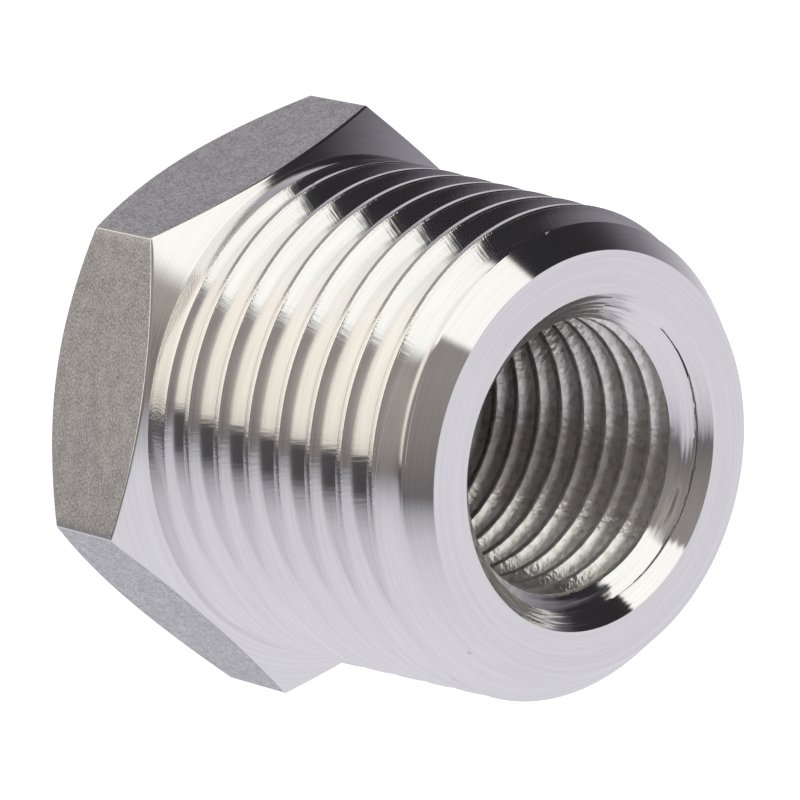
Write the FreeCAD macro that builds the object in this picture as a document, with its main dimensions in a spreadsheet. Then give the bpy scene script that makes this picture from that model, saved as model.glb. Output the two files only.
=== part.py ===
import FreeCAD, Part
import Sketcher
import os

os.makedirs("parts", exist_ok=True)

# Stainless steel hexagon reducing bush, one turned piece.
# +Z is the axis of both threads. The rear face of the hexagon lies in the XY plane
# and the taper thread points up. The first hexagon corner is on +X.

doc = FreeCAD.newDocument("HexBushing")

# Sizes in mm, angles in degrees
sheet = doc.addObject("Spreadsheet::Sheet", "Sizes")

sizes = [
    ("hex_width", "22.0", "hexagon across flats"),
    ("hex_height", "6.0", "rear face to the root of the front shoulder"),
    ("rear_face_dia", "21.5", "flat ring on the rear of the hexagon"),
    ("rear_chamfer_angle", "37.5", "rear corner chamfer, from the rear face"),
    ("shoulder_angle", "25.0", "front cone of the hexagon, from the rear face"),
    ("overall_length", "21.4", "rear face to front face"),
    ("gauge_dia", "20.955", "taper thread, crest diameter at the gauge plane"),
    ("gauge_length", "8.2", "front face to the gauge plane"),
    ("taper", "0.0625", "taper thread, change of diameter per length, 1 in 16"),
    ("thread_pitch", "1.8143", "taper thread, 14 turns in 25.4 mm"),
    ("thread_depth", "1.25", "taper thread, crest to the sharp root of the groove"),
    ("crest_width", "0.302", "taper thread, flat crest between two turns of the groove"),
    ("thread_start", "7.807", "height at which the groove reaches its full depth, over +X"),
    ("front_face_dia", "17.6", "outer diameter of the front face"),
    ("front_chamfer_angle", "37.0", "front chamfer, from the axis"),
    ("bore_dia", "11.445", "crest diameter of the female thread"),
    ("mouth_dia", "14.0", "countersink at both ends of the bore"),
    ("countersink_angle", "45.0", "countersink, from the axis"),
]

for row, (alias, value, note) in enumerate(sizes, start=1):
    sheet.set("A%d" % row, note)
    sheet.set("B%d" % row, value)
    sheet.setAlias("B%d" % row, alias)

doc.recompute()


def size(alias):
    return "Sizes." + alias


def value(expression):
    return float(sheet.evalExpression(expression))


def plane(body, role):
    for feature in body.Origin.OriginFeatures:
        if feature.Role == role:
            return feature


def draw(sketch, points):
    # Closed outline. Each corner is held by its two distances from the sketch origin.
    corners = []
    for across, up in points:
        corners.append(FreeCAD.Vector(value(across), value(up), 0))
    for index, corner in enumerate(corners):
        after = corners[(index + 1) % len(corners)]
        sketch.addGeometry(Part.LineSegment(corner, after), False)
    for index, (across, up) in enumerate(points):
        before = (index - 1) % len(points)
        sketch.addConstraint(Sketcher.Constraint("Coincident", before, 2, index, 1))
        number = sketch.addConstraint(
            Sketcher.Constraint("DistanceX", -1, 1, index, 1, corners[index].x))
        sketch.setExpression("Constraints[%d]" % number, across)
        number = sketch.addConstraint(
            Sketcher.Constraint("DistanceY", -1, 1, index, 1, corners[index].y))
        sketch.setExpression("Constraints[%d]" % number, up)


def bodySketch(body, name, role):
    sketch = body.newObject("Sketcher::SketchObject", name)
    sketch.AttachmentSupport = [(plane(body, role), "")]
    sketch.MapMode = "FlatFace"
    return sketch


# Expressions that several features share
hexRadius = size("hex_width") + " / 2"
cornerRadius = "(" + hexRadius + " / cos(30))"
rearRadius = size("rear_face_dia") + " / 2"
length = size("overall_length")
gaugeHeight = "(" + length + " - " + size("gauge_length") + ")"


def crestRadius(height):
    # Radius of the taper thread's crest cone at a height above the rear face
    slope = size("taper") + " / 2"
    return "(%s / 2 + (%s - (%s)) * %s)" % (size("gauge_dia"), gaugeHeight, height, slope)


shoulderRadius = crestRadius(size("hex_height"))
rearChamferTop = "(%s - %s) * tan(%s)" % (cornerRadius, rearRadius, size("rear_chamfer_angle"))
shoulderDrop = "(%s - %s) * tan(%s)" % (cornerRadius, shoulderRadius, size("shoulder_angle"))
frontRadius = size("front_face_dia") + " / 2"
chamferSlope = "tan(" + size("front_chamfer_angle") + ")"
chamferLength = "((%s - %s) / (%s - %s / 2))" % (
    crestRadius(length), frontRadius, chamferSlope, size("taper"))

# Turned blank, drawn as half its section
blank = doc.addObject("PartDesign::Body", "Blank")

turned = bodySketch(blank, "TurnedProfile", "XZ_Plane")
draw(turned, [
    ("0", "0"),
    (rearRadius, "0"),
    (cornerRadius, rearChamferTop),
    (cornerRadius, "%s - %s" % (size("hex_height"), shoulderDrop)),
    (shoulderRadius, size("hex_height")),
    (crestRadius("%s - %s" % (length, chamferLength)), "%s - %s" % (length, chamferLength)),
    (frontRadius, length),
    ("0", length),
])
turning = blank.newObject("PartDesign::Revolution", "Turning")
turning.Profile = turned
turning.ReferenceAxis = (turned, ["V_Axis"])
turning.Angle = 360
doc.recompute()

# Hexagon, milled away between its outline and a ring outside the blank
hexagon = bodySketch(blank, "HexagonOutline", "XY_Plane")
hexPoints = []
for corner in range(6):
    across = "%s * cos(%d)" % (cornerRadius, 60 * corner)
    up = "%s * sin(%d)" % (cornerRadius, 60 * corner)
    hexPoints.append((across, up))
draw(hexagon, hexPoints)
ring = hexagon.addGeometry(
    Part.Circle(FreeCAD.Vector(0, 0, 0), FreeCAD.Vector(0, 0, 1), 1.2 * value(cornerRadius)), False)
hexagon.addConstraint(Sketcher.Constraint("Coincident", ring, 3, -1, 1))
number = hexagon.addConstraint(Sketcher.Constraint("Radius", ring, 1.2 * value(cornerRadius)))
hexagon.setExpression("Constraints[%d]" % number, "1.2 * " + cornerRadius)
flats = blank.newObject("PartDesign::Pocket", "Flats")
flats.Profile = hexagon
flats.Reversed = True
flats.setExpression("Length", size("hex_height"))
doc.recompute()

# Through bore at the tapping size, countersunk at both ends
mouthRadius = size("mouth_dia") + " / 2"
boreRadius = size("bore_dia") + " / 2"
sinkDepth = "(%s - %s) / tan(%s)" % (mouthRadius, boreRadius, size("countersink_angle"))
drilled = bodySketch(blank, "BoreProfile", "XZ_Plane")
draw(drilled, [
    ("0", "0"),
    (mouthRadius, "0"),
    (boreRadius, sinkDepth),
    (boreRadius, "%s - %s" % (length, sinkDepth)),
    (mouthRadius, length),
    ("0", length),
])
bore = blank.newObject("PartDesign::Groove", "Bore")
bore.Profile = drilled
bore.ReferenceAxis = (drilled, ["V_Axis"])
bore.Angle = 360
doc.recompute()

# Taper thread: a right-hand vee groove along a conical helix. In the turn before it the
# groove comes in from the crest cone to its full depth, along the flank that faces the
# hexagon, so that turn climbs less than one pitch.
startHeight = size("thread_start")
depth = size("thread_depth")
halfGroove = "((%s - %s) / 2)" % (size("thread_pitch"), size("crest_width"))
runoutRise = "(%s - %s)" % (size("thread_pitch"), halfGroove)
runoutHeight = "(%s - %s)" % (startHeight, runoutRise)
rootRadius = "(%s - %s)" % (crestRadius(startHeight), depth)
runoutRadius = "(%s + %s / 24)" % (crestRadius(runoutHeight), depth)


def groovePath(name, base, rise, height, radius, angle):
    path = doc.addObject("Part::Helix", name)
    path.SegmentLength = 2
    path.setExpression("Pitch", rise)
    path.setExpression("Height", height)
    path.setExpression("Radius", radius)
    path.setExpression("Angle", angle)
    path.setExpression("Placement.Base.z", base)
    doc.recompute()
    return path


def grooveCutter(name, path, base, radius):
    # Vee between the two flanks, open a quarter of its depth past the crest
    past = 1.25
    section = doc.addObject("Sketcher::SketchObject", name + "Section")
    section.Placement = FreeCAD.Placement(
        FreeCAD.Vector(0, 0, 0), FreeCAD.Rotation(FreeCAD.Vector(1, 0, 0), 90))
    draw(section, [
        (radius, base),
        ("%s + %s * %s" % (radius, depth, past), "%s + %s * %s" % (base, halfGroove, past)),
        ("%s + %s * %s" % (radius, depth, past), "%s - %s * %s" % (base, halfGroove, past)),
    ])
    doc.recompute()
    cutter = doc.addObject("Part::Sweep", name)
    cutter.Sections = [section]
    cutter.Spine = (path, ["Edge%d" % (i + 1) for i in range(len(path.Shape.Edges))])
    cutter.Solid = True
    cutter.Frenet = True
    doc.recompute()
    return cutter


mainPath = groovePath("GroovePath", startHeight, size("thread_pitch"),
                      "%s + %s - %s" % (length, size("thread_pitch"), startHeight),
                      rootRadius, "-atan(%s / 2)" % size("taper"))
runoutPath = groovePath("RunoutPath", runoutHeight, runoutRise, runoutRise, runoutRadius,
                        "-atan((%s - %s) / %s)" % (runoutRadius, rootRadius, runoutRise))
mainCutter = grooveCutter("GrooveCutter", mainPath, startHeight, rootRadius)
runoutCutter = grooveCutter("RunoutCutter", runoutPath, runoutHeight, runoutRadius)

threaded = doc.addObject("Part::Cut", "Threaded")
threaded.Base = blank
threaded.Tool = mainCutter
doc.recompute()

bushing = doc.addObject("Part::Cut", "Bushing")
bushing.Base = threaded
bushing.Tool = runoutCutter
bushing.Label = "hex_bushing"
bushing.Placement = FreeCAD.Placement()
doc.recompute()

for item in doc.Objects:
    print(item.Name, item.State)
    if "Invalid" in item.State or "Error" in item.State:
        raise RuntimeError("not built: " + item.Name)

print("turned", turning.Shape.Volume)
print("hexagon", flats.Shape.Volume)
print("bored", bore.Shape.Volume)
print("groove", threaded.Shape.Volume, threaded.Shape.isValid())
print("bushing", bushing.Shape.Volume, bushing.Shape.isValid(), len(bushing.Shape.Solids), len(bushing.Shape.Faces))

if bushing.Shape.isNull() or not bushing.Shape.isValid() or len(bushing.Shape.Solids) != 1:
    raise RuntimeError("bushing is not one valid solid")
bushing.Shape.exportStep("parts/%s.step" % bushing.Label)
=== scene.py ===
import math

import bmesh
import bpy
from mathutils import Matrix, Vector


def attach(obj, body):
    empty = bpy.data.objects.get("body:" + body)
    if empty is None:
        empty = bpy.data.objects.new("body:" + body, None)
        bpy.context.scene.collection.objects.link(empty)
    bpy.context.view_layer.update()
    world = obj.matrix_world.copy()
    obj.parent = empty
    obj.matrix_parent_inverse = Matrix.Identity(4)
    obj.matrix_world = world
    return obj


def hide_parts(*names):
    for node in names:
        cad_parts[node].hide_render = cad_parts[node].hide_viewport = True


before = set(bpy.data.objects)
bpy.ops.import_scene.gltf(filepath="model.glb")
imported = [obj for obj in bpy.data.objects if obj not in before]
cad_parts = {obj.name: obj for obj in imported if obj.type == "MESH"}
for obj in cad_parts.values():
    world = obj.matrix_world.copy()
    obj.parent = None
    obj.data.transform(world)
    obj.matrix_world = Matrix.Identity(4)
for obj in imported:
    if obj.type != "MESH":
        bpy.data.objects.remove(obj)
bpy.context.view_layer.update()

mm = 0.001
scene = bpy.context.scene
scene.view_settings.view_transform = "Standard"

# What a user would change on the bushing, in millimetres and degrees.
bushing = {
    "columns": 216,  # the hexagon's corners fall on columns, 36 to a flat
    "acrossFlats": 22.0,
    "headHeight": 6.0,
    "length": 21.4,
    "rearFace": 21.5,
    "rearChamfer": 37.5,
    "shoulder": 25.0,
    "frontFace": 17.6,
    "frontChamfer": 37.0,
    "mouth": 14.0,
    "countersink": 45.0,
    "edgeRounding": 0.05,
    "roundedAbove": 14,  # edges of the head that turn by more than this are rounded
    "sharpAbove": 32,  # edges that turn by more than this stay sharp in the shading
    "edgeStrip": 0.12,  # width of the narrow rows beside the head's edges
    "weld": 0.002,  # points closer than this become one
    "sliver": 0.0001,  # edges shorter than this are taken out
}

# The tapered outside thread. Its last turn towards the head dies away.
outerThread = {
    "pitch": 1.8143,
    "depth": 1.162,
    "crestFlat": 0.2,
    "crestRound": 0.055,
    "rootRound": 0.22,
    "flank": 27.5,
    "gaugeRadius": 20.955 / 2,
    "gaugeLength": 8.2,
    "taper": 1 / 32,
    "apex": 7.807,
    "fullTurns": 9,
    "leadTurns": 3,
    "arcSteps": 3,
    "flankSteps": 3,
}

# The parallel inside thread, cut with a tap.
innerThread = {
    "pitch": 1.337,
    "depth": 0.856,
    "crestFlat": 0.2,
    "crestRound": 0.1,
    "rootRound": 0.184,
    "flank": 27.5,
    "minorRadius": 11.445 / 2,
    "apex": 0.4,
    "fullTurns": 17,
    "leadTurns": 3,
    "arcSteps": 2,
    "flankSteps": 2,
    "tear": 0.05,
    "tearSize": 0.45,
    "tearFade": 0.3,  # the tears die away this close to a countersink
}


def addNode(tree, kind, settings=None, links=None):
    # settings are the node's own, links are values or sockets by input name or number
    node = tree.nodes.new(kind)
    for name, value in (settings or {}).items():
        setattr(node, name, value)
    for name, value in (links or {}).items():
        socket = node.inputs[name]
        if isinstance(value, bpy.types.NodeSocket):
            tree.links.new(value, socket)
        else:
            socket.default_value = value
    return node


def addMath(tree, known, rows):
    # each row is (result, operation, operands), an operand a number or an earlier result
    for result, operation, *operands in rows:
        links = {n: known[o] if isinstance(o, str) else o for n, o in enumerate(operands)}
        known[result] = addNode(tree, "ShaderNodeMath", {"operation": operation}, links).outputs[0]


def linearColour(hexCode):
    parts = [int(hexCode[i:i + 2], 16) / 255 for i in (1, 3, 5)]
    linear = [p / 12.92 if p <= 0.04045 else ((p + 0.055) / 1.055) ** 2.4 for p in parts]
    return (*linear, 1.0)


def grooveProfile(thread):
    # (axial, depth) points of one groove in mm, rear lip to front lip, lips and root rounded
    sweep = math.radians(90 - thread["flank"])
    lip, root, depth = thread["crestRound"], thread["rootRound"], thread["depth"]
    half = (thread["pitch"] - thread["crestFlat"]) / 2
    bends = [sweep * s / thread["arcSteps"] for s in range(thread["arcSteps"] + 1)]
    lipArc = [(lip * math.sin(a) - half, lip * (1 - math.cos(a))) for a in bends]
    rootArc = [(-root * math.sin(a), depth - root * (1 - math.cos(a))) for a in reversed(bends)]
    start, end = lipArc[-1], rootArc[0]
    shares = [s / thread["flankSteps"] for s in range(1, thread["flankSteps"])]
    flank = [(start[0] + (end[0] - start[0]) * s, start[1] + (end[1] - start[1]) * s) for s in shares]
    rear = lipArc + flank + rootArc
    return rear + [(-x, d) for x, d in reversed(rear[:-1])]


def fillCurve(node, values):
    curve = node.mapping.curves[0]
    for _ in range(len(values) - 2):
        curve.points.new(0.5, 0.5)
    for index, value in enumerate(values):
        curve.points[index].location = (index / (len(values) - 1), value)
        curve.points[index].handle_type = "VECTOR"
    node.mapping.update()


threadInputs = [
    ("Columns", "NodeSocketInt"),
    ("Rows", "NodeSocketInt"),
    ("First Turn", "NodeSocketInt"),
    ("Groove Rows", "NodeSocketInt"),
    ("Turn Rows", "NodeSocketInt"),
    ("Pitch", "NodeSocketFloat"),
    ("Groove Width", "NodeSocketFloat"),
    ("Depth", "NodeSocketFloat"),
    ("Front Lip", "NodeSocketFloat"),
    ("Crest Radius", "NodeSocketFloat"),
    ("Taper", "NodeSocketFloat"),
    ("Low", "NodeSocketFloat"),
    ("High", "NodeSocketFloat"),
    ("Front Radius", "NodeSocketFloat"),
    ("Front Slope", "NodeSocketFloat"),
    ("Rear Radius", "NodeSocketFloat"),
    ("Rear Slope", "NodeSocketFloat"),
    ("Side", "NodeSocketFloat"),
    ("Tear", "NodeSocketFloat"),
    ("Tear Scale", "NodeSocketFloat"),
    ("Tear Fade", "NodeSocketFloat"),
    ("Material", "NodeSocketMaterial"),
]


def threadTree(name, profile):
    # A sheared grid: its rows follow the helix, its columns are planes through the axis.
    # Radii are signed, an inside thread counts as negative, so that "less" is always "cut away".
    tree = bpy.data.node_groups.new(name, "GeometryNodeTree")
    for label, kind in threadInputs:
        tree.interface.new_socket(label, in_out="INPUT", socket_type=kind)
    tree.interface.new_socket("Geometry", in_out="OUTPUT", socket_type="NodeSocketGeometry")
    given = addNode(tree, "NodeGroupInput").outputs
    known = {label: given[label] for label, _ in threadInputs}
    known["index"] = addNode(tree, "GeometryNodeInputIndex").outputs[0]
    addMath(tree, known, [
        ("columnCount", "ADD", "Columns", 1.0),
        ("shiftedIndex", "ADD", "index", 0.5),
        ("columnShare", "DIVIDE", "shiftedIndex", "Rows"),
        ("column", "FLOOR", "columnShare"),
        ("rowStart", "MULTIPLY", "column", "Rows"),
        ("row", "SUBTRACT", "index", "rowStart"),
        ("around", "DIVIDE", "column", "Columns"),
        ("rowMiddle", "ADD", "row", 0.5),
        ("turnShare", "DIVIDE", "rowMiddle", "Turn Rows"),
        ("turn", "FLOOR", "turnShare"),
        ("turnStart", "MULTIPLY", "turn", "Turn Rows"),
        ("step", "SUBTRACT", "row", "turnStart"),
        ("turnNumber", "ADD", "turn", "First Turn"),
        ("helix", "ADD", "turnNumber", "around"),
        ("fadeRaw", "ADD", "helix", 1.0),
        ("fadeFloor", "MAXIMUM", "fadeRaw", 0.0),
        ("fade", "MINIMUM", "fadeFloor", 1.0),
        ("nextRaw", "ADD", "helix", 2.0),
        ("nextFloor", "MAXIMUM", "nextRaw", 0.0),
        ("nextFade", "MINIMUM", "nextFloor", 1.0),
        ("climb", "MULTIPLY_ADD", "Pitch", "helix", "Front Lip"),
        ("grooveShareRaw", "DIVIDE", "step", "Groove Rows"),
        ("grooveShare", "MINIMUM", "grooveShareRaw", 1.0),
        ("landRows", "SUBTRACT", "Turn Rows", "Groove Rows"),
        ("landStep", "SUBTRACT", "step", "Groove Rows"),
        ("landShareRaw", "DIVIDE", "landStep", "landRows"),
        ("landShare", "MAXIMUM", "landShareRaw", 0.0),
    ])
    width, depth = profile[-1][0] - profile[0][0], max(d for _, d in profile)
    curves = {
        "across": [(profile[-1][0] - x) / width for x, _ in profile],
        "down": [d / depth for _, d in profile],
    }
    for label, values in curves.items():
        curve = addNode(tree, "ShaderNodeFloatCurve", {"label": label}, {"Value": known["grooveShare"]})
        fillCurve(curve, values)
        known[label] = curve.outputs[0]
    addMath(tree, known, [
        ("grooveWide", "MULTIPLY", "fade", "Groove Width"),
        ("back", "MULTIPLY", "grooveWide", "across"),
        ("grooveHeight", "SUBTRACT", "climb", "back"),
        ("nextWide", "MULTIPLY", "nextFade", "Groove Width"),
        ("landWide", "SUBTRACT", "Pitch", "nextWide"),
        ("free", "MULTIPLY_ADD", "landShare", "landWide", "grooveHeight"),
        ("aboveLow", "MAXIMUM", "free", "Low"),
        ("height", "MINIMUM", "aboveLow", "High"),
        ("tapered", "MULTIPLY", "Taper", "height"),
        ("crest", "SUBTRACT", "Crest Radius", "tapered"),
        ("cutRaw", "MULTIPLY", "fade", "down"),
        ("cut", "MULTIPLY", "cutRaw", "Depth"),
        ("radius", "SUBTRACT", "crest", "cut"),
    ])

    def coneRows(tag, height):
        return [
            (tag + "Front", "SUBTRACT", "High", height),
            (tag + "FrontCone", "MULTIPLY_ADD", tag + "Front", "Front Slope", "Front Radius"),
            (tag + "Rear", "SUBTRACT", height, "Low"),
            (tag + "RearCone", "MULTIPLY_ADD", tag + "Rear", "Rear Slope", "Rear Radius"),
            (tag + "Cone", "MINIMUM", tag + "FrontCone", tag + "RearCone"),
        ]

    addMath(tree, known, coneRows("first", "height"))
    addMath(tree, known, [
        ("over", "SUBTRACT", "radius", "firstCone"),
        ("rowLimit", "SUBTRACT", "Rows", 1.5),
        ("notFirst", "GREATER_THAN", "row", 0.5),
        ("notLast", "LESS_THAN", "row", "rowLimit"),
        ("before", "SUBTRACT", "index", "notFirst"),
        ("after", "ADD", "index", "notLast"),
    ])
    place = addNode(tree, "ShaderNodeCombineXYZ", None,
                    {"X": known["radius"], "Y": known["over"], "Z": known["height"]}).outputs[0]
    # a point nearest to where thread and chamfer meet slides onto the meeting line
    moved = place
    taken = None
    for tag in ("before", "after"):
        other = addNode(tree, "GeometryNodeFieldAtIndex",
                        {"data_type": "FLOAT_VECTOR", "domain": "POINT"},
                        {"Index": known[tag], "Value": place}).outputs[0]
        known[tag + "Over"] = addNode(tree, "ShaderNodeSeparateXYZ", None, {0: other}).outputs[1]
        addMath(tree, known, [
            (tag + "Gap", "SUBTRACT", "over", tag + "Over"),
            (tag + "Share", "DIVIDE", "over", tag + "Gap"),
            (tag + "Above", "GREATER_THAN", tag + "Share", 0.0),
            (tag + "Below", "LESS_THAN", tag + "Share", 0.5001),
            (tag + "Both", "MULTIPLY", tag + "Above", tag + "Below"),
            (tag + "Use", "MULTIPLY", tag + "Both", tag + "Share"),
        ])
        share = known[tag + "Use"]
        if taken is not None:
            known["taken"] = taken
            addMath(tree, known, [
                ("isFree", "SUBTRACT", 1.0, "taken"),
                ("freeUse", "MULTIPLY", tag + "Use", "isFree"),
            ])
            share = known["freeUse"]
        taken = known[tag + "Both"]
        way = addNode(tree, "ShaderNodeVectorMath", {"operation": "SUBTRACT"},
                      {0: other, 1: place}).outputs[0]
        part = addNode(tree, "ShaderNodeVectorMath", {"operation": "SCALE"},
                       {0: way, "Scale": share}).outputs[0]
        moved = addNode(tree, "ShaderNodeVectorMath", {"operation": "ADD"},
                        {0: moved, 1: part}).outputs[0]
    split = addNode(tree, "ShaderNodeSeparateXYZ", None, {0: moved})
    known["slidRadius"], known["slidHeight"] = split.outputs[0], split.outputs[2]
    addMath(tree, known, coneRows("last", "slidHeight"))
    addMath(tree, known, [
        ("signed", "MINIMUM", "slidRadius", "lastCone"),
        ("clean", "MULTIPLY", "signed", "Side"),
        ("angle", "MULTIPLY", "around", math.tau),
        ("cosine", "COSINE", "angle"),
        ("sine", "SINE", "angle"),
        ("x", "MULTIPLY", "clean", "cosine"),
        ("y", "MULTIPLY", "clean", "sine"),
    ])
    smooth = addNode(tree, "ShaderNodeCombineXYZ", None,
                     {"X": known["x"], "Y": known["y"], "Z": known["slidHeight"]}).outputs[0]
    # torn metal: noise moves the surface in and out, not where a cone or an edge is
    known["rough"] = addNode(tree, "ShaderNodeTexNoise", {"noise_dimensions": "3D"},
                             {"Vector": smooth, "Scale": known["Tear Scale"], "Detail": 3.0,
                              "Roughness": 0.65}).outputs[0]
    addMath(tree, known, [
        ("room", "SUBTRACT", "lastCone", "slidRadius"),
        ("roomShare", "DIVIDE", "room", "Tear Fade"),
        ("roomFloor", "MAXIMUM", "roomShare", 0.0),
        ("roomCap", "MINIMUM", "roomFloor", 1.0),
        ("roughness", "SUBTRACT", "rough", 0.5),
        ("tearRaw", "MULTIPLY", "roughness", "Tear"),
        ("tear", "MULTIPLY", "tearRaw", "roomCap"),
        ("ragged", "ADD", "clean", "tear"),
        ("xTorn", "MULTIPLY", "ragged", "cosine"),
        ("yTorn", "MULTIPLY", "ragged", "sine"),
    ])
    final = addNode(tree, "ShaderNodeCombineXYZ", None,
                    {"X": known["xTorn"], "Y": known["yTorn"], "Z": known["slidHeight"]}).outputs[0]
    grid = addNode(tree, "GeometryNodeMeshGrid", None,
                   {"Vertices X": known["columnCount"], "Vertices Y": known["Rows"]}).outputs[0]
    shaped = addNode(tree, "GeometryNodeSetPosition", None,
                     {"Geometry": grid, "Position": final}).outputs[0]
    real = addNode(tree, "GeometryNodeRealizeInstances", None, {"Geometry": shaped}).outputs[0]
    dressed = addNode(tree, "GeometryNodeSetMaterial", None,
                      {"Geometry": real, "Material": known["Material"]}).outputs[0]
    addNode(tree, "NodeGroupOutput", None, {"Geometry": dressed})
    return tree


def makeThread(name, thread, material, shape):
    profile = grooveProfile(thread)
    tree = threadTree(name, profile)
    sizes = {
        "Columns": bushing["columns"],
        "Groove Rows": len(profile) - 1,
        "Turn Rows": len(profile) + 1,
        "First Turn": -thread["leadTurns"],
        "Rows": (thread["fullTurns"] + thread["leadTurns"]) * (len(profile) + 1),
        "Pitch": thread["pitch"] * mm,
        "Groove Width": (profile[-1][0] - profile[0][0]) * mm,
        "Depth": thread["depth"] * mm,
        "Front Lip": (thread["apex"] + profile[-1][0]) * mm,
        "Material": material,
        **shape,
    }
    holder = bpy.data.objects.new(name, bpy.data.meshes.new(name))
    scene.collection.objects.link(holder)
    modifier = holder.modifiers.new("Thread", "NODES")
    modifier.node_group = tree
    for item in tree.interface.items_tree:
        if item.in_out == "INPUT" and item.name in sizes:
            modifier[item.identifier] = sizes[item.name]
    bpy.context.view_layer.update()
    evaluated = holder.evaluated_get(bpy.context.evaluated_depsgraph_get())
    mesh = bpy.data.meshes.new_from_object(evaluated)
    bpy.data.objects.remove(holder)
    return mesh


def ringRows(rows):
    # a skin through rows of (radius, height) given for every column, in mm
    count = bushing["columns"]
    points, faces = [], []
    for row in rows:
        for column in range(count):
            radius, height = row(column)
            angle = math.tau * column / count
            points.append((radius * math.cos(angle) * mm, radius * math.sin(angle) * mm, height * mm))
    for row in range(len(rows) - 1):
        for column in range(count):
            beside = (column + 1) % count
            faces.append((row * count + column, row * count + beside,
                          (row + 1) * count + beside, (row + 1) * count + column))
    return points, faces


def headRows():
    # rear face, rear chamfer, flats and shoulder of the hexagon, out of the sizes above
    flat = bushing["acrossFlats"] / 2
    rear = bushing["rearFace"] / 2
    rise = math.tan(math.radians(bushing["rearChamfer"]))
    fall = math.tan(math.radians(bushing["shoulder"]))
    neck = crestRadius(bushing["headHeight"])
    perSide = bushing["columns"] // 6

    def reach(column):
        fromFlat = (column % perSide) / perSide * 60 - 30
        return flat / math.cos(math.radians(fromFlat))

    def between(low, high, steps):
        # the end rows lie close to the edges and keep their rounding out of the broad faces
        def row(share):
            def place(column):
                start, end = low(column), high(column)
                near = min(bushing["edgeStrip"] / math.dist(start, end), 0.4)
                f = near + (1 - 2 * near) * share
                return start[0] + (end[0] - start[0]) * f, start[1] + (end[1] - start[1]) * f
            return place
        return [row(s / steps) for s in range(steps + 1)]

    mouthRing = lambda c: (bushing["mouth"] / 2, 0.0)
    rearRing = lambda c: (rear, 0.0)
    chamferTop = lambda c: (reach(c), (reach(c) - rear) * rise)
    flatTop = lambda c: (reach(c), bushing["headHeight"] - (reach(c) - neck) * fall)
    neckRing = lambda c: (neck, bushing["headHeight"])
    rows = [mouthRing]
    for low, high, steps in ((mouthRing, rearRing, 3), (rearRing, chamferTop, 3),
                             (chamferTop, flatTop, 6), (flatTop, neckRing, 4)):
        rows += [*between(low, high, steps), high]
    return rows


def crestRadius(height):
    fromGauge = bushing["length"] - outerThread["gaugeLength"] - height
    return outerThread["gaugeRadius"] + fromGauge * outerThread["taper"]


def plainMesh(name, points, faces):
    mesh = bpy.data.meshes.new(name)
    mesh.from_pydata(points, [], faces)
    return mesh


def makeBushing(turnedSteel, tappedSteel, drawnSteel):
    slope = math.tan(math.radians(bushing["frontChamfer"]))
    sink = math.tan(math.radians(bushing["countersink"]))
    mouth = bushing["mouth"] / 2 * mm
    front = bushing["length"] * mm
    outer = makeThread("outsideThread", outerThread, turnedSteel, {
        "Crest Radius": crestRadius(0) * mm,
        "Taper": outerThread["taper"],
        "Low": bushing["headHeight"] * mm,
        "High": front,
        "Front Radius": bushing["frontFace"] / 2 * mm,
        "Front Slope": slope,
        "Rear Radius": bushing["acrossFlats"] * mm,  # far outside, so no chamfer beside the head
        "Rear Slope": 1.0,
        "Side": 1.0,
        "Tear": 0.0,
        "Tear Scale": 1.0,
        "Tear Fade": 1.0,
    })
    inner = makeThread("insideThread", innerThread, tappedSteel, {
        "Crest Radius": -innerThread["minorRadius"] * mm,
        "Taper": 0.0,
        "Low": 0.0,
        "High": front,
        "Front Radius": -mouth,
        "Front Slope": sink,
        "Rear Radius": -mouth,
        "Rear Slope": sink,
        "Side": -1.0,
        "Tear": innerThread["tear"] * mm,
        "Tear Scale": 1 / (innerThread["tearSize"] * mm),
        "Tear Fade": innerThread["tearFade"] * mm,
    })
    print("threads done, faces:", len(outer.polygons) + len(inner.polygons))
    head = plainMesh("head", *ringRows(headRows()))
    face = plainMesh("frontFace", *ringRows([
        lambda c, f=f: (bushing["frontFace"] / 2 * (1 - f) + bushing["mouth"] / 2 * f, bushing["length"])
        for f in (0, 0.25, 0.5, 0.75, 1)]))
    for mesh, slot in ((outer, 0), (face, 0), (head, 0), (inner, 1)):
        mesh.polygons.foreach_set("material_index", [slot] * len(mesh.polygons))
    for polygon in head.polygons:
        if abs(polygon.normal.z) < 0.1:
            polygon.material_index = 2  # the hexagon's flats
    # The countersinks at both ends of the bore are turned, not tapped. Their faces lie close to
    # an end and on its cone.
    deepest, slack = 1.4 * mm, 0.03 * mm
    for polygon in inner.polygons:
        x, y, z = polygon.center
        fromEnd = min(z, front - z)
        if fromEnd < deepest and math.hypot(x, y) > mouth - fromEnd * sink - slack:
            polygon.material_index = 0
    shell = bmesh.new()
    shell.from_mesh(head)
    roundEdges(shell)
    for mesh in (outer, inner, face):
        shell.from_mesh(mesh)
    for mesh in (outer, inner, head, face):
        bpy.data.meshes.remove(mesh)
    bmesh.ops.remove_doubles(shell, verts=shell.verts, dist=bushing["weld"] * mm)
    bmesh.ops.dissolve_degenerate(shell, dist=bushing["sliver"] * mm, edges=shell.edges)
    bmesh.ops.recalc_face_normals(shell, faces=shell.faces)
    faulty = sum(1 for edge in shell.edges if len(edge.link_faces) != 2)
    mesh = bpy.data.meshes.new("hexBushing")
    shell.to_mesh(mesh)
    shell.free()
    mesh.shade_smooth()
    mesh.set_sharp_from_angle(angle=math.radians(bushing["sharpAbove"]))
    piece = bpy.data.objects.new("hexBushing", mesh)
    scene.collection.objects.link(piece)
    shadeByArea(piece)
    for material in (turnedSteel, tappedSteel, drawnSteel):
        piece.data.materials.append(material)
    print("bushing done, faces:", len(piece.data.polygons), "open edges:", faulty)
    return piece


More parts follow.
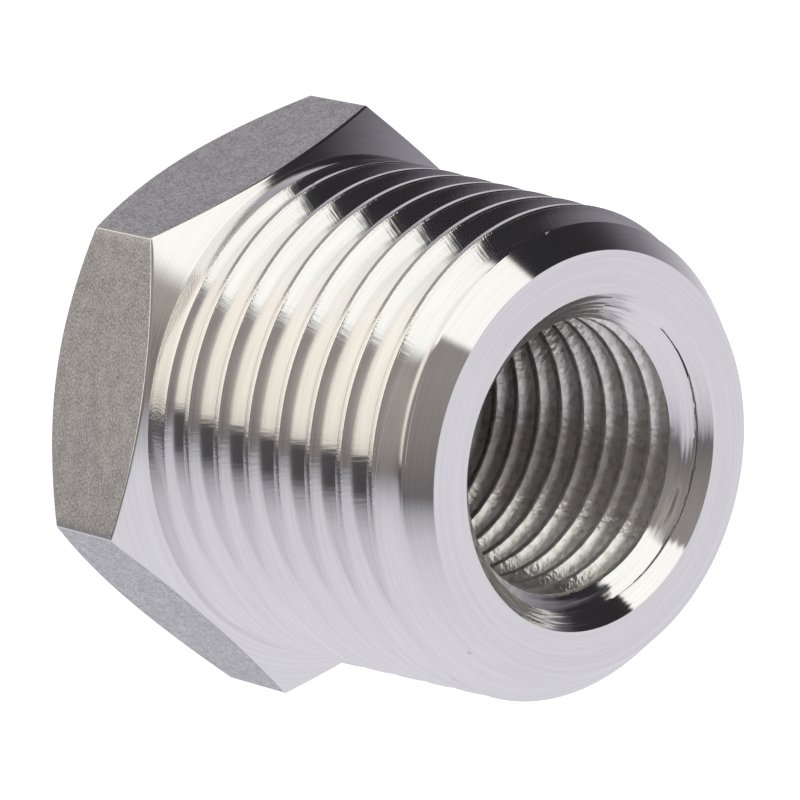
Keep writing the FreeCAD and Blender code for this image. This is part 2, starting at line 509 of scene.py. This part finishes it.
def roundEdges(shell):
    # a narrow rounding on the hexagon's edges
    least = math.radians(bushing["roundedAbove"])
    edges = [e for e in shell.edges if len(e.link_faces) == 2 and e.calc_face_angle(0) > least]
    bmesh.ops.bevel(shell, geom=edges, offset=bushing["edgeRounding"] * mm, segments=2, profile=0.5,
                    affect="EDGES", clamp_overlap=True)


def shadeByArea(piece):
    # broad faces keep their own shading, the narrow roundings between them take the whole bend
    modifier = piece.modifiers.new("Shading", "WEIGHTED_NORMAL")
    modifier.keep_sharp = True
    graph = bpy.context.evaluated_depsgraph_get()
    mesh = bpy.data.meshes.new_from_object(piece.evaluated_get(graph),
                                           preserve_all_data_layers=True, depsgraph=graph)
    piece.modifiers.remove(modifier)
    plain = piece.data
    piece.data = mesh
    bpy.data.meshes.remove(plain)
    mesh.name = "hexBushing"


# The steel, all sizes in millimetres. Bump heights are real heights.
turned = {
    "colour": "#efefef",  # bright austenitic steel straight off the lathe
    "ringColour": "#e8e8e8",
    "pitColour": "#8a8684",
    "roughness": 0.11,
    "stretch": 0.9,  # the marks run round the axis and blur reflections across them
    "feed": 0.11,  # spacing of the turning marks
    "feedHeight": 0.001,
    "feedDrift": 1.2,  # how fast those marks change round the axis, per radian
    "chatter": 0.17,  # spacing of the ripples left by the threading tool
    "chatterHeight": 0.0022,
    "chatterRadius": 10.5,  # the radius at which that spacing holds
    "chatterDrift": (900.0, 350.0),  # how fast the ripples change with radius and height, per metre
    "ringShare": (0.35, 0.65),  # where in their noise the rings turn to the second colour
    "pit": 2.6,  # spacing of the few small pits
    "pitShare": (0.035, 0.02),  # a pit's rim and its floor, as shares of that spacing
    "sink": 0.25,  # spacing of the coarser marks in the countersinks
    "sinkHeight": 0.026,
    "burr": 0.09,  # ragged crest of the outside thread
    "burrHeight": 0.006,
    "crestBand": 0.07,  # the depth down to which the crest is ragged
    "boreSide": 8.5,  # a radius between the bore and the outside thread
    "chamferLength": 2.0,  # length of the front chamfer, which has no ripples
}
tapped = {
    "colour": "#f7f5f2",
    "darkColour": "#dcd9d4",
    "roughness": 0.28,
    "stretch": 0.9,  # the tap's marks follow the thread
    "blotch": 0.35,
    "blotchShare": (0.35, 0.55),
    "tear": 0.22,
    "tearHeight": 0.022,
}
drawn = {
    "colour": "#dcdcde",
    "darkColour": "#a09fa2",
    "roughness": 0.42,
    "grain": 0.11,  # pits of the pickled bar surface
    "grainHeight": 0.005,
    "flattened": 1.25,  # the grain is shorter along the axis than round it
    "patch": 0.6,  # slow clouding of the skin
    "patchWeight": 0.2,
    "skinShare": (0.36, 0.62),
}


def colourBetween(tree, value, limits, first, second, easing="LINEAR"):
    # the first colour where the value is at the first limit, the second at the second
    share = addNode(tree, "ShaderNodeMapRange", {"interpolation_type": easing},
                    {"Value": value, "From Min": limits[0], "From Max": limits[1]}).outputs[0]
    return addNode(tree, "ShaderNodeMix", {"data_type": "RGBA"},
                   {0: share, 6: first, 7: second}).outputs[2]


def startMaterial(name, roughness):
    material = bpy.data.materials.new(name)
    material.use_nodes = True
    tree = material.node_tree
    shader = tree.nodes["Principled BSDF"]
    shader.inputs["Metallic"].default_value = 1.0
    shader.inputs["Roughness"].default_value = roughness
    return material, tree, shader


def latheCoordinates(tree):
    # radius and height in metres, and the angle round the axis in radians
    place = addNode(tree, "ShaderNodeTexCoord").outputs["Object"]
    split = addNode(tree, "ShaderNodeSeparateXYZ", None, {0: place}).outputs
    known = {"x": split[0], "y": split[1], "z": split[2]}
    addMath(tree, known, [
        ("xx", "MULTIPLY", "x", "x"),
        ("rr", "MULTIPLY_ADD", "y", "y", "xx"),
        ("radius", "SQRT", "rr"),
        ("angle", "ARCTAN2", "y", "x"),
    ])
    known["place"] = place
    return known


def blurAcrossMarks(tree, shader, known, stretch):
    # cutting marks run round the axis, and every reflection is drawn out across them
    shader.inputs["Anisotropic"].default_value = stretch
    shader.inputs["Anisotropic Rotation"].default_value = 0.25
    addMath(tree, known, [("back", "MULTIPLY", "y", -1.0)])
    aroundAxis = addNode(tree, "ShaderNodeCombineXYZ", None,
                         {"X": known["back"], "Y": known["x"], "Z": 0.0}).outputs[0]
    tree.links.new(aroundAxis, shader.inputs["Tangent"])


def bumpChain(tree, shader, layers):
    # layers are (height socket, height in metres)
    normal = None
    for height, distance in layers:
        links = {"Height": height, "Distance": distance, "Strength": 1.0}
        if normal is not None:
            links["Normal"] = normal
        normal = addNode(tree, "ShaderNodeBump", None, links).outputs[0]
    tree.links.new(normal, shader.inputs["Normal"])


def makeTurnedSteel():
    # stainless bar turned on a lathe: mirror-like with fine rings that soften every reflection
    material, tree, shader = startMaterial("turnedStainlessSteel", turned["roughness"])
    known = latheCoordinates(tree)
    blurAcrossMarks(tree, shader, known, turned["stretch"])
    driftRadius, driftHeight = turned["chatterDrift"]
    crestFoot = crestRadius(0) - turned["crestBand"]
    addMath(tree, known, [
        ("ringA", "MULTIPLY", "radius", 1 / (turned["feed"] * mm)),
        ("ringB", "MULTIPLY", "z", 1 / (turned["feed"] * mm)),
        ("slowAngle", "MULTIPLY", "angle", turned["feedDrift"]),
        ("fastAngle", "MULTIPLY", "angle", turned["chatterRadius"] / turned["chatter"]),
        ("alongA", "MULTIPLY", "radius", driftRadius),
        ("alongB", "MULTIPLY", "z", driftHeight),
        ("sinkA", "MULTIPLY", "radius", 1 / (turned["sink"] * mm)),
        ("sinkB", "MULTIPLY", "z", 1 / (turned["sink"] * mm)),
        ("aboveHead", "GREATER_THAN", "z", bushing["headHeight"] * mm),
        ("belowChamfer", "LESS_THAN", "z", (bushing["length"] - turned["chamferLength"]) * mm),
        ("outside", "GREATER_THAN", "radius", turned["boreSide"] * mm),
        ("onLength", "MULTIPLY", "aboveHead", "belowChamfer"),
        ("onThread", "MULTIPLY", "onLength", "outside"),
        ("crestAt", "MULTIPLY_ADD", "z", -outerThread["taper"], crestFoot * mm),
        ("nearCrest", "GREATER_THAN", "radius", "crestAt"),
        ("onCrest", "MULTIPLY", "onThread", "nearCrest"),
        ("inSink", "LESS_THAN", "radius", (bushing["mouth"] / 2 - 0.01) * mm),
    ])
    # each row: name, the three coordinates or the place itself, scale, detail
    noises = [
        ("ringNoise", ("ringA", "ringB", "slowAngle"), 1.0, 2.0),
        ("rippleNoise", ("fastAngle", "alongA", "alongB"), 1.0, 1.0),
        ("sinkNoise", ("sinkA", "sinkB", "slowAngle"), 1.0, 1.0),
        ("burrNoise", None, 1 / (turned["burr"] * mm), 1.0),
    ]
    for name, axes, scale, detail in noises:
        spot = known["place"]
        if axes:
            links = {n: known[axis] for n, axis in enumerate(axes)}
            spot = addNode(tree, "ShaderNodeCombineXYZ", None, links).outputs[0]
        known[name] = addNode(tree, "ShaderNodeTexNoise", None,
                              {"Vector": spot, "Scale": scale, "Detail": detail,
                               "Roughness": 0.6}).outputs[0]
    addMath(tree, known, [
        ("ripple", "MULTIPLY", "rippleNoise", "onThread"),
        ("burr", "MULTIPLY", "burrNoise", "onCrest"),
        ("sinkRing", "MULTIPLY", "sinkNoise", "inSink"),
    ])
    pits = addNode(tree, "ShaderNodeTexVoronoi", None,
                   {"Vector": known["place"], "Scale": 1 / (turned["pit"] * mm)}).outputs["Distance"]
    ringed = colourBetween(tree, known["ringNoise"], turned["ringShare"],
                           linearColour(turned["colour"]), linearColour(turned["ringColour"]))
    pitted = colourBetween(tree, pits, turned["pitShare"], ringed, linearColour(turned["pitColour"]))
    tree.links.new(pitted, shader.inputs["Base Color"])
    bumpChain(tree, shader, [(known["ringNoise"], turned["feedHeight"] * mm),
                             (known["ripple"], turned["chatterHeight"] * mm),
                             (known["burr"], turned["burrHeight"] * mm),
                             (known["sinkRing"], turned["sinkHeight"] * mm)])
    return material


def makeTappedSteel():
    # the same steel cut with a tap: its teeth tear the thread, which glitters and looks duller
    material, tree, shader = startMaterial("tappedStainlessSteel", tapped["roughness"])
    known = latheCoordinates(tree)
    blurAcrossMarks(tree, shader, known, tapped["stretch"])
    blotch = addNode(tree, "ShaderNodeTexNoise", None,
                     {"Vector": known["place"], "Scale": 1 / (tapped["blotch"] * mm), "Detail": 2.0,
                      "Roughness": 0.6}).outputs[0]
    colour = colourBetween(tree, blotch, tapped["blotchShare"],
                           linearColour(tapped["darkColour"]), linearColour(tapped["colour"]))
    tree.links.new(colour, shader.inputs["Base Color"])
    torn = addNode(tree, "ShaderNodeTexNoise", None,
                   {"Vector": known["place"], "Scale": 1 / (tapped["tear"] * mm), "Detail": 2.0,
                    "Roughness": 0.5}).outputs[0]
    bumpChain(tree, shader, [(torn, tapped["tearHeight"] * mm)])
    return material


def makeDrawnSteel():
    # the flats keep the skin of the drawn and pickled bar: matt, with a fine grain
    material, tree, shader = startMaterial("drawnStainlessSteel", drawn["roughness"])
    place = addNode(tree, "ShaderNodeTexCoord").outputs["Object"]
    squashed = addNode(tree, "ShaderNodeVectorMath", {"operation": "MULTIPLY"},
                       {0: place, 1: (1.0, 1.0, drawn["flattened"])}).outputs[0]
    grain = addNode(tree, "ShaderNodeTexNoise", None,
                    {"Vector": squashed, "Scale": 1 / (drawn["grain"] * mm), "Detail": 2.0,
                     "Roughness": 0.7}).outputs[0]
    patch = addNode(tree, "ShaderNodeTexNoise", None,
                    {"Vector": squashed, "Scale": 1 / (drawn["patch"] * mm), "Detail": 1.0}).outputs[0]
    known = {"grain": grain, "patch": patch}
    addMath(tree, known, [
        ("clouding", "MULTIPLY_ADD", "patch", drawn["patchWeight"], -drawn["patchWeight"] / 2),
        ("skin", "ADD", "grain", "clouding"),
    ])
    colour = colourBetween(tree, known["skin"], drawn["skinShare"],
                           linearColour(drawn["darkColour"]), linearColour(drawn["colour"]))
    tree.links.new(colour, shader.inputs["Base Color"])
    bumpChain(tree, shader, [(grain, drawn["grainHeight"] * mm)])
    return material


piece = makeBushing(makeTurnedSteel(), makeTappedSteel(), makeDrawnSteel())
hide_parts("hex_bushing")
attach(piece, "root")

# Camera at the photograph's angle, in mm and degrees
view = {
    "place": (-24.205, -184.154, 203.449),
    "turn": (-12.2533, -42.349, 100.61),
    "lens": 286.87,
}
camera = bpy.data.objects.new("camera", bpy.data.cameras.new("camera"))
camera.location = [v * mm for v in view["place"]]
camera.rotation_euler = [math.radians(v) for v in view["turn"]]
camera.data.lens = view["lens"]
camera.data.clip_start, camera.data.clip_end = 0.01, 10
scene.collection.objects.link(camera)
scene.camera = camera
print("camera done")

# The studio by compass angle (0 is +X, 90 is +Y) and angle above the table, in degrees.
# Each ring of soft panels fades in over the one below it between its two heights.
studio = {
    "brightness": 0.9,
    "rings": [
        (None, [(-180, 1.2, "lilac"), (-155, 0.7, "lilac"), (-125, 0.2, "brown"), (-60, 0.2, "brown"),
                (-30, 0.9, "lilac"), (0, 1.4, "lilac"), (75, 1.4, "lilac"), (105, 1.0, "lilac"),
                (130, 1.2, "lilac"), (170, 1.25, "lilac")]),
        ((-66, -57), [(-180, 0.38, "brown"), (-150, 0.34, "brown"), (-143, 0.42, "brown"),
                      (-135, 1.0, "cream"), (-118, 1.06, "cream"), (-100, 1.0, "cream"),
                      (-88, 0.88, "cream"), (-78, 0.6, "cream"), (-72, 0.12, "strip"),
                      (-66, 0.12, "strip"), (-60, 0.38, "lilac"), (-45, 0.6, "lilac"),
                      (-30, 0.7, "lilac"), (0, 0.8, "lilac"), (40, 0.9, "lilac"), (90, 0.85, "lilac"),
                      (105, 0.6, "lilac"), (125, 0.68, "lilac"), (150, 0.66, "lilac"),
                      (168, 0.45, "lilac")]),
        ((-38, -31), [(-180, 0.95, "cream"), (-165, 1.2, "cream"), (-150, 1.5, "cream"),
                      (-135, 1.45, "cream"), (-115, 1.36, "cream"), (-100, 1.3, "cream"),
                      (-90, 1.25, "cream"), (-81, 1.05, "cream"), (-77, 0.09, "strip"),
                      (-63, 0.08, "strip"), (-55, 0.5, "lilac"), (-45, 0.8, "lilac"),
                      (-30, 0.9, "lilac"), (0, 0.84, "lilac"), (90, 0.82, "lilac"),
                      (105, 0.55, "lilac"), (122, 0.25, "black"), (136, 0.08, "black"),
                      (150, 0.04, "black"), (174, 0.04, "black")]),
        ((-9, 1), [(-180, 0.28, "brown"), (-120, 0.31, "brown"), (-92, 0.26, "brown"),
                   (-75, 0.2, "brown"), (-64, 0.17, "strip"), (-56, 0.45, "lilac"),
                   (-45, 0.68, "lilac"), (-30, 0.79, "lilac"), (-15, 0.83, "lilac"),
                   (15, 0.87, "lilac"), (90, 0.84, "lilac"), (105, 0.5, "lilac"),
                   (122, 0.3, "black"), (132, 0.12, "black"), (139, 0.03, "black"),
                   (179, 0.03, "black")]),
        ((70, 74), [(-180, 0.4, "ceiling"), (-140, 0.42, "ceiling"), (-85, 0.36, "ceiling"),
                    (-60, 0.26, "ceiling"), (-45, 0.38, "lilac"), (-30, 0.52, "lilac"),
                    (-10, 0.7, "lilac"), (90, 0.6, "lilac"), (130, 0.4, "lilac"),
                    (150, 0.3, "ceiling")]),
        ((78, 84), [(-180, 0.12, "ceiling"), (-60, 0.14, "ceiling"), (-30, 0.3, "lilac"),
                    (90, 0.4, "lilac"), (150, 0.14, "ceiling")]),
    ],
    # The high window. Each edge runs through two directions, (compass, height), and is soft by
    # some degrees.
    "window": {
        "level": 1.23,
        "tint": "window",
        "inside": (-165, 30),
        "edges": [((176, 20), (155, 50), 1.2), ((-145, 60), (-172, 75), 3),
                  ((-136, 20), (-143, 56), 2), ((-178, -12), (-140, -12), 4)],
    },
}
tints = {
    "window": (1.024, 1.015, 0.961),
    "cream": (1.087, 1.010, 0.903),
    "brown": (1.075, 0.988, 0.938),
    "ceiling": (1.100, 0.987, 0.913),
    "strip": (1.048, 0.933, 1.019),
    "lilac": (0.990, 0.970, 1.040),
    "black": (1.000, 0.940, 1.060),
}


def tinted(level, tint):
    return (*[level * studio["brightness"] * t for t in tints[tint]], 1.0)


def toward(compass, height):
    flat = math.cos(math.radians(height))
    return Vector((flat * math.cos(math.radians(compass)), flat * math.sin(math.radians(compass)),
                   math.sin(math.radians(height))))


def panelRing(tree, compass, stops):
    ramp = addNode(tree, "ShaderNodeValToRGB", None, {0: compass})
    elements = ramp.color_ramp.elements
    while len(elements) > 1:
        elements.remove(elements[-1])
    for number, (angle, level, tint) in enumerate(stops):
        spot = (angle + 180) / 360
        element = elements[0] if number == 0 else elements.new(spot)
        element.position = spot
        element.color = tinted(level, tint)
    return ramp.outputs[0]


def makeStudio():
    world = bpy.data.worlds.new("studio")
    world.use_nodes = True
    tree = world.node_tree
    tree.nodes.clear()
    ray = addNode(tree, "ShaderNodeTexCoord").outputs["Generated"]
    split = addNode(tree, "ShaderNodeSeparateXYZ", None, {0: ray}).outputs
    known = {"x": split[0], "y": split[1], "z": split[2]}
    addMath(tree, known, [
        ("angle", "ARCTAN2", "y", "x"),
        ("turns", "DIVIDE", "angle", math.tau),
        ("compass", "ADD", "turns", 0.5),
        ("rise", "ARCSINE", "z"),
        ("degrees", "DEGREES", "rise"),
    ])
    panels = None
    for heights, stops in studio["rings"]:
        ring = panelRing(tree, known["compass"], stops)
        if panels is not None:
            ring = colourBetween(tree, known["degrees"], heights, panels, ring, "SMOOTHSTEP")
        panels = ring
    window = studio["window"]
    inside = toward(*window["inside"])
    known["share"] = 1.0
    for start, end, soft in window["edges"]:
        across = toward(*start).cross(toward(*end)).normalized()
        across = across if across.dot(inside) > 0 else -across
        reach = math.sin(math.radians(soft))
        side = addNode(tree, "ShaderNodeVectorMath", {"operation": "DOT_PRODUCT"},
                       {0: ray, 1: across}).outputs["Value"]
        known["edge"] = addNode(tree, "ShaderNodeMapRange", {"interpolation_type": "SMOOTHSTEP"},
                                {"Value": side, "From Min": -reach, "From Max": reach}).outputs[0]
        addMath(tree, known, [("share", "MULTIPLY", "edge", known["share"])])
    lit = addNode(tree, "ShaderNodeMix", {"data_type": "RGBA"},
                  {0: known["share"], 6: panels, 7: tinted(window["level"], window["tint"])}).outputs[2]
    seen = addNode(tree, "ShaderNodeLightPath").outputs["Is Camera Ray"]
    colour = addNode(tree, "ShaderNodeMix", {"data_type": "RGBA"},
                     {0: seen, 6: lit, 7: (1, 1, 1, 1)}).outputs[2]
    light = addNode(tree, "ShaderNodeBackground", None, {"Color": colour, "Strength": 1.0}).outputs[0]
    addNode(tree, "ShaderNodeOutputWorld", None, {"Surface": light})
    scene.world = world


floor = {
    "size": 2.0,  # metres
    "colour": "#f2f2f2",
    "whiteness": 0.68,
    "underBore": 8.0,  # radius in mm of the patch of table that the bore looks down on
    "underBoreDrop": 0.02,  # mm
    "underBoreSides": 48,
}


def makeTable():
    # matt pale table: it keeps the bushing's shadow and is white to the camera
    material = bpy.data.materials.new("paleTable")
    material.use_nodes = True
    tree = material.node_tree
    tree.nodes.clear()
    matt = addNode(tree, "ShaderNodeBsdfDiffuse", None,
                   {"Color": linearColour(floor["colour"])}).outputs[0]
    white = addNode(tree, "ShaderNodeEmission", None,
                    {"Color": (1, 1, 1, 1), "Strength": floor["whiteness"]}).outputs[0]
    seen = addNode(tree, "ShaderNodeLightPath").outputs["Is Camera Ray"]
    both = addNode(tree, "ShaderNodeAddShader", None, {0: matt, 1: white}).outputs[0]
    mixed = addNode(tree, "ShaderNodeMixShader", None, {0: seen, 1: matt, 2: both}).outputs[0]
    addNode(tree, "ShaderNodeOutputMaterial", None, {"Surface": mixed})
    return material


def makeFloor():
    half = floor["size"] / 2
    corners = [(-half, -half, 0), (half, -half, 0), (half, half, 0), (-half, half, 0)]
    radius, drop = floor["underBore"] * mm, floor["underBoreDrop"] * mm
    around = [math.tau * n / floor["underBoreSides"] for n in range(floor["underBoreSides"])]
    rim = [(radius * math.cos(a), radius * math.sin(a), -drop) for a in around]
    material = makeTable()
    for name, outline in (("floor", corners), ("tableUnderBore", rim)):
        mesh = plainMesh(name, outline, [tuple(range(len(outline)))])
        mesh.materials.append(material)
        flat = bpy.data.objects.new(name, mesh)
        scene.collection.objects.link(flat)
        # the steel mirrors the studio's panels, and the table only by the patch under the bore
        flat.visible_glossy = name != "floor"


makeStudio()
makeFloor()
print("studio done")
